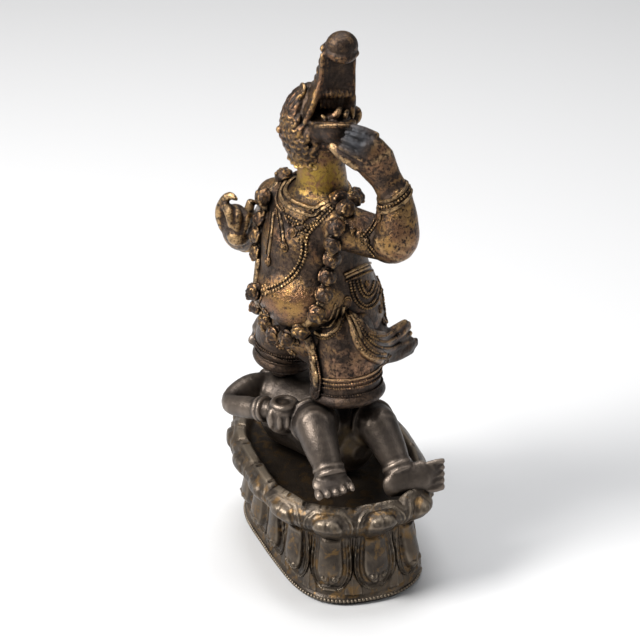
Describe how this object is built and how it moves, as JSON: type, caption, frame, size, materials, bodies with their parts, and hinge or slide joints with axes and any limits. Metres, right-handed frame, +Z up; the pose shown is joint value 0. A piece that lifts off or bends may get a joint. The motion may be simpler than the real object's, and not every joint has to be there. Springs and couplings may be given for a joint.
{
  "type": "gilt bronze deity figure",
  "caption": "Cast figure of an animal-headed guardian deity with a raised snout, drinking from a cup and standing on a reclining man on an oval lotus base.",
  "frame": {"origin": "centre of the underside of the lotus base", "axes": "+Z up, +X along the base's long axis towards the reclining man's feet, +Y towards the deity's back"},
  "size_m": [0.0924, 0.0627, 0.176],
  "materials": {
    "base_bronze": "dark olive-brown bronze patina with ochre patches",
    "dark_bronze": "dark grey-brown polished bronze patina",
    "worn_gilding": "worn fire gilding over bronze, dark in the hollows, coppery where rubbed"
  },
  "bodies": {
    "root": {"lotus_base": "base_bronze", "reclining_man": "dark_bronze", "deity": "worn_gilding"}
  },
  "joints": []
}
